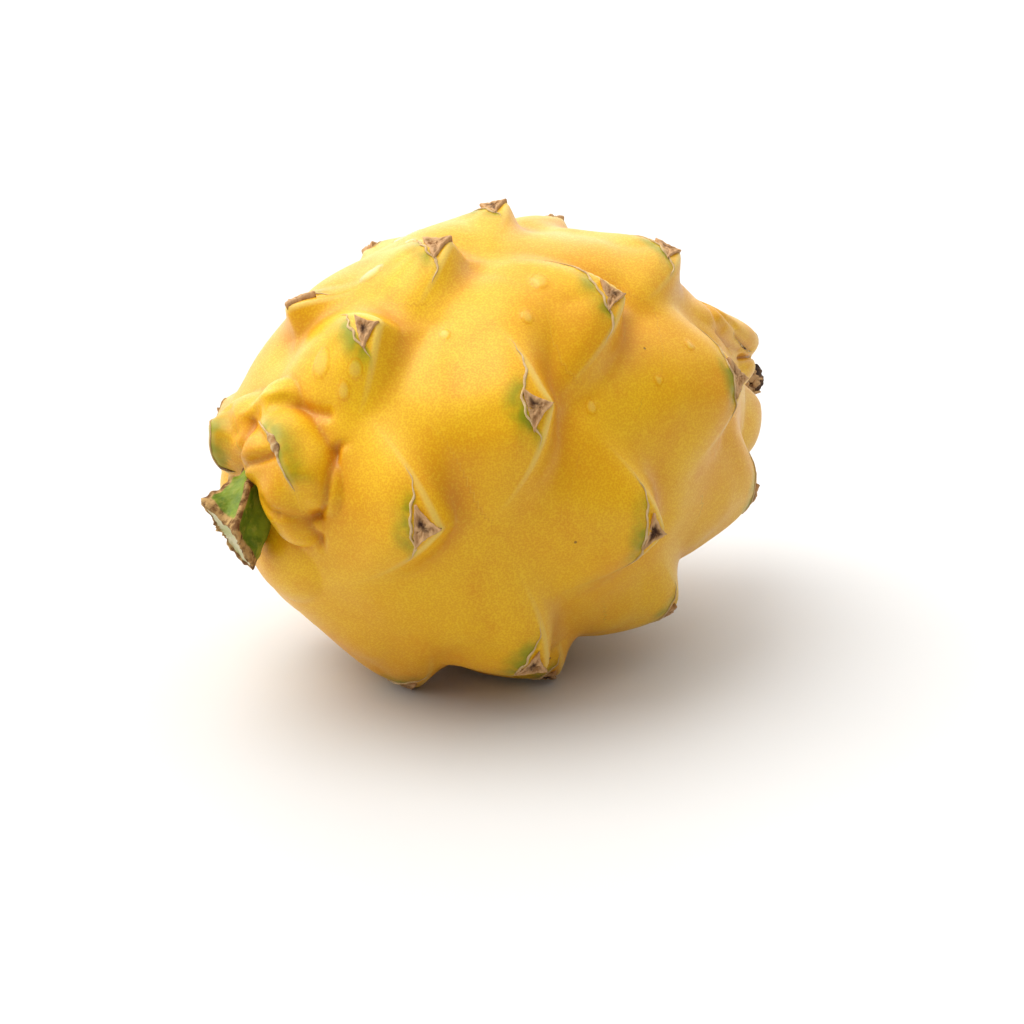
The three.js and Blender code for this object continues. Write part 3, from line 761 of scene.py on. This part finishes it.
def tipShape():
    v = tipValues
    middle = np.array([v["middle"], 0])
    corners = [np.array(c) for c in ((v["ahead"], 0), (v["behind"], v["half"]), (v["behind"], -v["half"]))]
    bows = (v["hollow"], v["bulge"], v["hollow"])
    f = np.arange(v["sides"] // 3)[:, None] / (v["sides"] // 3)
    edges = []
    for a, b, bow in zip(corners, corners[1:] + corners[:1], bows):
        inward = middle - (a + b) / 2
        edges.append(a + (b - a) * f + bow * 4 * f * (1 - f) * inward / np.linalg.norm(inward))
    outline = np.concatenate(edges)
    turn = np.arctan2(outline[:, 1], outline[:, 0] - middle[0])
    rings, rims = [], []

    def addRing(share, high, rim):
        flat = middle + (outline - middle) * share
        rings.append(np.column_stack([flat, np.broadcast_to(high, len(outline))]))
        rims.append(np.full(len(outline), rim))

    addRing(v["rootWide"], v["root"], 0)
    addRing(v["lipWide"], v["rim"] - v["lipDrop"], 1)
    for r in range(v["rings"], 0, -1):
        f = r / v["rings"]
        fibres = v["fibreHigh"] * np.sin(v["fibres"] * turn + 4 * f) * f * (1.2 - f) * 2
        addRing(f, v["floor"] + (v["rim"] - v["floor"]) * f ** 2.5 + fibres, f)
    points, faces = closedLoft(np.array(rings))
    return points, faces, np.concatenate(rims + [[0], [0]])


# Scatters copies of a piece on points that carry "outward", "forward" and "size", then roughens them.
def scatterTree(name):
    tree = bpy.data.node_groups.new(name, "GeometryNodeTree")
    sockets = {}
    kinds = {"Points": "Geometry", "Piece": "Object", "Size": "Float", "Size spread": "Float",
             "Turn spread": "Float", "Rough": "Float", "Rough scale": "Float", "Seed": "Int",
             "Material": "Material"}
    for label, kind in kinds.items():
        socket = tree.interface.new_socket(label, in_out="INPUT", socket_type="NodeSocket" + kind)
        sockets[label] = socket.identifier
    tree.interface.new_socket("Result", in_out="OUTPUT", socket_type="NodeSocketGeometry")
    make, calc = Shade(tree).make, Shade(tree).calc
    given = make("NodeGroupInput").outputs

    def named(attribute, kind):
        node = make("GeometryNodeInputNamedAttribute", {"Name": attribute}, data_type=kind)
        return node.outputs["Attribute"]

    def draw(low, high, kind="FLOAT"):
        node = make("FunctionNodeRandomValue", {"Seed": given["Seed"]}, data_type=kind)
        ends = [socket for socket in node.inputs if socket.enabled and socket.name in ("Min", "Max")]
        for socket, value in zip(ends, (low, high)):
            feed(tree, socket, value)
        return [socket for socket in node.outputs if socket.enabled][0]

    inputs = {"Vector": named("outward", "FLOAT_VECTOR")}
    upright = make("FunctionNodeAlignRotationToVector", inputs, axis="Z")
    inputs = {"Rotation": upright.outputs[0], "Vector": named("forward", "FLOAT_VECTOR")}
    facing = make("FunctionNodeAlignRotationToVector", inputs, axis="X", pivot_axis="Z")
    back = calc("MULTIPLY", given["Turn spread"], -1.0)
    twist = make("ShaderNodeCombineXYZ", {"Z": draw(back, given["Turn spread"])}).outputs[0]
    inputs = {0: facing.outputs[0], 1: twist}
    turned = make("FunctionNodeRotateRotation", inputs, rotation_space="LOCAL").outputs[0]
    least = calc("SUBTRACT", 1.0, given["Size spread"])
    most = calc("ADD", 1.0, given["Size spread"])
    size = calc("MULTIPLY", draw(least, most), given["Size"])
    size = calc("MULTIPLY", size, named("size", "FLOAT"))
    source = make("GeometryNodeObjectInfo", {"Object": given["Piece"], "As Instance": True})
    inputs = {"Points": given["Points"], "Instance": source.outputs["Geometry"], "Rotation": turned,
              "Scale": size}
    placed = make("GeometryNodeInstanceOnPoints", inputs)
    real = make("GeometryNodeRealizeInstances", {0: placed.outputs[0]})
    noise = make("ShaderNodeTexNoise", {"Scale": given["Rough scale"], "Detail": 3.0})
    inputs = {0: noise.outputs["Color"], 1: (0.5, 0.5, 0.5)}
    middle = make("ShaderNodeVectorMath", inputs, operation="SUBTRACT")
    inputs = {0: middle.outputs[0], "Scale": given["Rough"]}
    shift = make("ShaderNodeVectorMath", inputs, operation="SCALE")
    rough = make("GeometryNodeSetPosition", {"Geometry": real.outputs[0], "Offset": shift.outputs[0]})
    inputs = {"Geometry": rough.outputs[0], "Material": given["Material"]}
    dressed = make("GeometryNodeSetMaterial", inputs)
    make("NodeGroupOutput", {0: dressed.outputs[0]})
    return tree, sockets


def scatter(name, points, outward, forward, size, prototype, material, values):
    cloud = makeMesh(name, lay(points))
    origin = lay(np.zeros((1, 3)))
    setAttribute(cloud, "outward", lay(outward) - origin, "FLOAT_VECTOR")
    setAttribute(cloud, "forward", lay(forward) - origin, "FLOAT_VECTOR")
    setAttribute(cloud, "size", size)
    holder = addObject(name + "Points", cloud)
    modifier = holder.modifiers.new("scatter", "NODES")
    modifier.node_group = scatterNodes
    for label, value in {"Piece": prototype, "Material": material, **values}.items():
        modifier[scatterSockets[label]] = value
    bpy.context.view_layer.update()
    evaluated = holder.evaluated_get(bpy.context.evaluated_depsgraph_get())
    mesh = bpy.data.meshes.new_from_object(evaluated)
    holder.modifiers.remove(modifier)
    bpy.data.objects.remove(holder)
    bpy.data.objects.remove(prototype)
    mesh.name = name
    return addObject(name, mesh)


scatterNodes, scatterSockets = scatterTree("scatter pieces")


def woodMaterial(name, light, dark, deep, scale):
    material, s = newMaterial(name)
    where = s.coordinates()
    rim = s.attribute("rim")
    streak = s.noise(s.stretch(where, 1, 1, 0.35), scale, 5, 0.65)
    patch = s.noise(where, scale * 0.3, 3)
    colour = s.mix(s.smooth(streak, 0.36, 0.64), dark, light)
    colour = s.mix(s.times(s.smooth(patch, 0.45, 0.65), s.smooth(rim, 0.85, 0.3)), colour, deep)
    colour = s.mix(s.times(s.smooth(rim, 0.55, 0.95), 0.6), colour, light)
    normal = s.bump(streak, 0.0005, 0.8)
    finishMaterial(s, Base_Color=colour, Roughness=0.8, Normal=normal, Specular_IOR_Level=0.25)
    return material


tipPoints, tipFaces, tipRim = tipShape()
prototype = makePiece("tipPrototype", tipPoints * mm, tipFaces, {"rim": tipRim})
here, outward = zip(*(onRind(t, [-2.0], [0], 1.5) for t in stands))
front = np.concatenate([onRind(t, [-0.1], [0])[0] for t in stands])
back = np.concatenate([onRind(t, [-3.9], [0])[0] for t in stands])
here, outward = np.concatenate(here), np.concatenate(outward)
tipScatter = {"Size": 1.0, "Size spread": 0.12, "Turn spread": 0.15, "Rough": 0.0007, "Rough scale": 700.0,
              "Seed": 4}
tipWood = woodMaterial("dry tips", "CFA474", "94683C", "3A1E10", 1100)
dryTips = scatter("dryTips", here, outward, front - back, np.ones(len(stands)), prototype, tipWood,
                  tipScatter)
crests.data.materials.append(woodMaterial("crest lines", "D5B887", "A77A48", "4D2E19", 900))
# Under the fruit, tips and lines are pressed flat on the surface that it rests on.
for piece in (dryTips, crests):
    for corner in piece.data.vertices:
        corner.co.z = max(corner.co.z, 0)
    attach(piece, "root")
print("dry tips:", len(dryTips.data.polygons))

# The cut stalk: a three-ribbed stub with woody ribs, a ragged rim and a pale cut face.
stalkValues = {
    "root": (-52.5, 0.2, 1), "heading": (-7.2, -1.4, -4.5), "cut": (-0.86, 0.13, -0.49), "length": 8.6,
    "ribs": [(15, 5.2, 30, 0), (188, 4.8, 38, 0), (312, 3.6, 24, 48)], "core": 3.1, "sink": 4.5,
    "rootScale": 0.45, "sides": 180, "rings": 40, "faceRings": 16, "ridge": 0.45, "ridgeWide": 7,
    "rim": 0.7, "hollow": 0.5, "knobAt": 0.42, "knobHalf": 0.05, "knob": 0.7, "rimFrom": 0.86,
    "woodFrom": 0.78, "ragged": [(0.45, 5, 40), (0.3, 13, 0), (0.2, 29, 0)]
}


def turnBetween(a, b):
    return (a - b + 540) % 360 - 180


def stalkShape():
    v = stalkValues
    heading, cut = unit(v["heading"]), unit(v["cut"])
    up = unit(np.array([0, 0, 1]) - heading[2] * heading)
    across = np.cross(heading, up)
    turn = np.arange(v["sides"]) * 360 / v["sides"]
    out = np.cos(np.radians(turn))[:, None] * up + np.sin(np.radians(turn))[:, None] * across

    # The radius and the height of the woody ridges round the stub, from its root (0) to its cut (1).
    def sectionAt(t):
        radius, ridge = np.full(len(turn), float(v["core"])), np.zeros(len(turn))
        for angle, high, wide, twist in v["ribs"]:
            away = turnBetween(turn, angle + twist * (1 - t))
            radius += high * bell(away / wide)
            ridge = np.maximum(ridge, bell(away / v["ridgeWide"]))
        return radius, ridge

    ragged = sum(high * np.sin(np.radians(waves * turn + start)) for high, waves, start in v["ragged"])
    slant = (out @ cut) / (heading @ cut)
    rings, woody, face = [], [], []

    def addRing(t, axis, share, grow, wood, onFace):
        radius, _ = sectionAt(t)
        widen = (v["rootScale"] + (1 - v["rootScale"]) * t ** 0.8) * share
        reach = radius * widen + grow
        along = axis - t * radius * widen * slant
        rings.append(np.array(v["root"]) + along[:, None] * heading + reach[:, None] * out)
        woody.append(np.broadcast_to(wood, turn.shape))
        face.append(np.full(len(turn), float(onFace)))

    for r in range(v["rings"]):
        t = r / (v["rings"] - 1)
        axis = np.full(len(turn), -v["sink"] + t * (v["length"] + v["sink"]))
        _, ridge = sectionAt(t)
        wave = 1 + 0.5 * math.sin(17 * t) + 0.4 * np.sin(31 * t + turn / 9)
        wave = wave + v["knob"] / v["ridge"] * bell((t - v["knobAt"]) / v["knobHalf"])
        rim = max(0, t - v["rimFrom"]) / (1 - v["rimFrom"])
        grow = v["ridge"] * ridge * wave + v["rim"] * rim * (0.4 + 0.35 * ragged)
        wood = max(0, (t - v["woodFrom"]) / (1 - v["woodFrom"]))
        addRing(t, axis, 1, grow, np.maximum(ridge, wood), 0)
    rimHigh = 0.5 * ragged + 0.3
    addRing(1, v["length"] + rimHigh, 0.99, v["rim"] * (0.4 + 0.35 * ragged), 1.0, 0)
    addRing(1, v["length"] + 0.8 * rimHigh, 0.93, 0, 1.0, 0.4)
    for r in range(v["faceRings"], 0, -1):
        f = 0.88 * r / v["faceRings"]
        depth = -v["hollow"] * (1 - f ** 2) + 0.1 * np.sin(np.radians(23 * turn)) * f
        addRing(1, v["length"] + depth, f, 0, max(0, (f - 0.7) * 2), 1)
    points, faces = closedLoft(np.array(rings))
    marks = {"rim": np.concatenate(woody + [(0, 0)]), "face": np.concatenate(face + [(0, 1)])}
    return points, faces, marks


def stalkMaterial():
    material, s = newMaterial("stalk")
    where = s.coordinates()
    rim, face = s.attribute("rim"), s.attribute("face")
    streak = s.noise(s.stretch(where, 0.5, 1, 0.6), 900, 4, 0.6)
    patch = s.noise(where, 260, 3)
    green = s.mix(s.smooth(patch, 0.35, 0.65), "4E6C10", "839622")
    green = s.mix(s.times(s.smooth(streak, 0.5, 0.7), 0.5), green, "A5A442")
    wood = s.mix(s.smooth(streak, 0.38, 0.62), "6C4723", "BF9960")
    flesh = s.mix(s.smooth(patch, 0.4, 0.6), "CDC6A0", "B4B47B")
    edged = s.calc("ADD", rim, s.times(s.calc("SUBTRACT", patch, 0.5), 0.7))
    colour = s.mix(s.smooth(face, 0.5, 0.9), green, flesh)
    colour = s.mix(s.smooth(edged, 0.42, 0.6), colour, wood)
    normal = s.bump(streak, 0.0005, 0.6)
    rough = s.smooth(edged, 0.4, 0.6, 0.5, 0.85)
    finishMaterial(s, Base_Color=colour, Roughness=rough, Normal=normal, Specular_IOR_Level=0.3)
    return material


points, faces, marks = stalkShape()
stalkStub = makePiece("stalkStub", lay(points), faces, marks)
stalkStub.data.materials.append(stalkMaterial())
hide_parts("stalk")
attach(stalkStub, "root")
print("stalk:", len(faces))

# The dry flower: a knobbly core with crumpled scraps of dry petal round it.
flowerValues = {"from": 63.5, "to": 76.4, "drop": 3.2, "radius": 4.5, "endRadius": 3, "sides": 72,
                "rings": 30, "turn": 2.39996}


def flowerCore():
    v = flowerValues
    turn = turnsOf(v["sides"])
    rings = []
    for r in range(v["rings"]):
        t = r / (v["rings"] - 1)
        round_ = math.sqrt(max(0.02, 1 - max(0, (t - 0.75) / 0.26) ** 2))
        knobs = 1 + 0.13 * t * np.cos(5 * turn + 2 * t) + 0.07 * np.sin(11 * turn + 6 * t)
        knobs = knobs + 0.05 * np.sin(23 * turn - 19 * t)
        radius = (v["radius"] + (v["endRadius"] - v["radius"]) * t) * knobs * round_
        x = np.full(len(turn), v["from"] + t * (v["to"] - v["from"]))
        rings.append(np.stack([x, radius * np.cos(turn), radius * np.sin(turn) - v["drop"]], axis=1))
    return closedLoft(np.array(rings))


# One scrap of dry petal: a curled closed strip. X runs to its tip, Z is out.
scrapValues = {"long": 6.5, "wide": 1.9, "thick": 0.22, "steps": 18, "sides": 16, "root": -1.4, "arch": 0.9,
               "curl": 1.4, "cupped": 0.28}


def scrapShape():
    v = scrapValues
    turn = turnsOf(v["sides"])
    rings = []
    for t in np.linspace(0, 1, v["steps"]):
        half = v["wide"] * (0.55 + 0.9 * t - 1.3 * t ** 3) + 0.05
        side = half * np.cos(turn)
        up = v["thick"] * (1 - 0.6 * t) * np.sin(turn) + v["arch"] * math.sin(2.6 * t)
        up = up - v["cupped"] * side ** 2 * (0.3 + t) + v["curl"] * t ** 3
        x = v["long"] * t + v["root"] + 0.35 * np.sin(2.4 * side)
        rings.append(np.stack([x, side, up], axis=1))
    return closedLoft(np.array(rings))


# A shrivelled knob, a little longer than wide.
knobValues = {"long": 1.7, "wide": 1.15, "high": 1.0, "lift": 0.3, "sides": 18, "rings": 12, "end": 0.03}


def knobShape():
    v = knobValues
    turn = turnsOf(v["sides"])
    rings = []
    for t in np.linspace(v["end"], math.pi - v["end"], v["rings"]):
        around = 1 + 0.12 * np.cos(3 * turn + t) + 0.08 * np.sin(7 * turn - 2 * t)
        x = np.full(v["sides"], -v["long"] * math.cos(t))
        side = v["wide"] * math.sin(t) * np.cos(turn) * around
        rings.append(np.stack([x, side, v["high"] * math.sin(t) * np.sin(turn) * around + v["lift"]], axis=1))
    return closedLoft(np.array(rings))


def scrapPlaces(count, seed):
    v = flowerValues
    draw = makeDraw(seed)
    points, outward, forward, size = [], [], [], []
    for k in range(count):
        t = (k + 0.5) / count
        turn = k * v["turn"] + 0.3 * draw()
        radius = (v["radius"] + (v["endRadius"] - v["radius"]) * t) * (0.95 if t < 0.85 else 0.5)
        out = np.array([0.15 + 0.5 * t, math.cos(turn), math.sin(turn)])
        points.append([v["from"] + (0.35 + 0.6 * t) * (v["to"] - v["from"]) - 2.5, radius * math.cos(turn),
                       radius * math.sin(turn) - v["drop"]])
        outward.append(unit(out))
        forward.append(unit([1, 0.5 * draw() + 0.25 * math.cos(turn), 0.5 * draw() + 0.25 * math.sin(turn)]))
        size.append(0.72 + 0.22 * draw())
    return np.array(points), np.array(outward), np.array(forward), size


points, faces = flowerCore()
core = makePiece("flowerCore", lay(points), faces)
woodFlower = woodMaterial("dry flower", "8A6440", "5E4028", "2E1B10", 420)
core.data.materials.append(woodFlower)
petalWood = woodMaterial("dry petals", "C39A68", "80592F", "3A2418", 500)
crumpled = []
petalScatter = {"Size": 1.0, "Size spread": 0.25, "Turn spread": 0.6, "Rough": 0.0011, "Rough scale": 520.0}
for name, shape, count, seed in (("flowerScraps", scrapShape(), 22, 9), ("flowerKnobs", knobShape(), 48, 3)):
    rim = np.clip(0.55 + 0.4 * shape[0][:, 2], 0.1, 1)
    prototype = makePiece(name + "Prototype", shape[0] * mm, shape[1], {"rim": rim})
    values = {**petalScatter, "Seed": seed}
    crumpled.append(scatter(name, *scrapPlaces(count, seed), prototype, petalWood, values))
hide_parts("dry_flower")
for piece in [core] + crumpled:
    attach(piece, "root")
print("dry flower:", sum(len(piece.data.polygons) for piece in crumpled))

# The stage: a pale floor, a soft sky that is brightest above and behind, and a broad key light.
stage = {"floor": 6, "floorColour": "CECDCB", "skyLow": 0.3, "skyHigh": 1.92, "skyFrom": -0.3,
         "brightSide": (0.08, 0.69, 0.72), "sun": 1.75, "sunWide": 50, "sunFrom": (-0.3, 0.3, 0.9)}
half = stage["floor"] / 2
corners = [(-half, -half, 0), (half, -half, 0), (half, half, 0), (-half, half, 0)]
floor = addObject("floor", makeMesh("floor", corners, [(0, 1, 2, 3)]))
material, shade = newMaterial("floor")
finishMaterial(shade, Base_Color=colourOf(stage["floorColour"]), Roughness=0.6)
floor.data.materials.append(material)

world = bpy.data.worlds.new("studio")
world.use_nodes = True
shade = Shade(world.node_tree)
inputs = {0: shade.make("ShaderNodeTexCoord").outputs["Generated"], 1: stage["brightSide"]}
facing = shade.make("ShaderNodeVectorMath", inputs, operation="DOT_PRODUCT").outputs["Value"]
background = shade.tree.nodes["Background"].inputs
background["Color"].default_value = (1, 1, 1, 1)
sky = shade.smooth(facing, stage["skyFrom"], 1, stage["skyLow"], stage["skyHigh"])
feed(shade.tree, background["Strength"], sky)
bpy.context.scene.world = world
bpy.context.scene.view_settings.view_transform = "Standard"

sun = bpy.data.lights.new("keyLight", "SUN")
sun.energy = stage["sun"]
sun.angle = math.radians(stage["sunWide"])
sunObject = addObject("keyLight", sun)
sunObject.rotation_euler = Vector(stage["sunFrom"]).to_track_quat("Z", "Y").to_euler()

# The camera looks at the fruit's middle. The shifts move the picture by parts of its width.
view = {"azimuth": -40, "elevation": 18, "distance": 0.465, "lens": 85, "sensor": 36,
        "shiftX": (512 - 482) / 1024, "shiftY": (441 - 512) / 1024}
centre = Vector((-lie["middleX"] * mm, -lie["middleY"] * mm, lie["height"] * mm))
azimuth, elevation = math.radians(view["azimuth"]), math.radians(view["elevation"])
level = math.cos(elevation)
toCamera = Vector((math.sin(azimuth) * level, -math.cos(azimuth) * level, math.sin(elevation)))
cameraData = bpy.data.cameras.new("camera")
cameraData.lens = view["lens"]
cameraData.sensor_width = view["sensor"]
cameraData.shift_x = view["shiftX"]
cameraData.shift_y = view["shiftY"]
camera = addObject("camera", cameraData)
camera.location = centre + toCamera * view["distance"]
camera.rotation_euler = (-toCamera).to_track_quat("-Z", "Y").to_euler()
bpy.context.scene.camera = camera
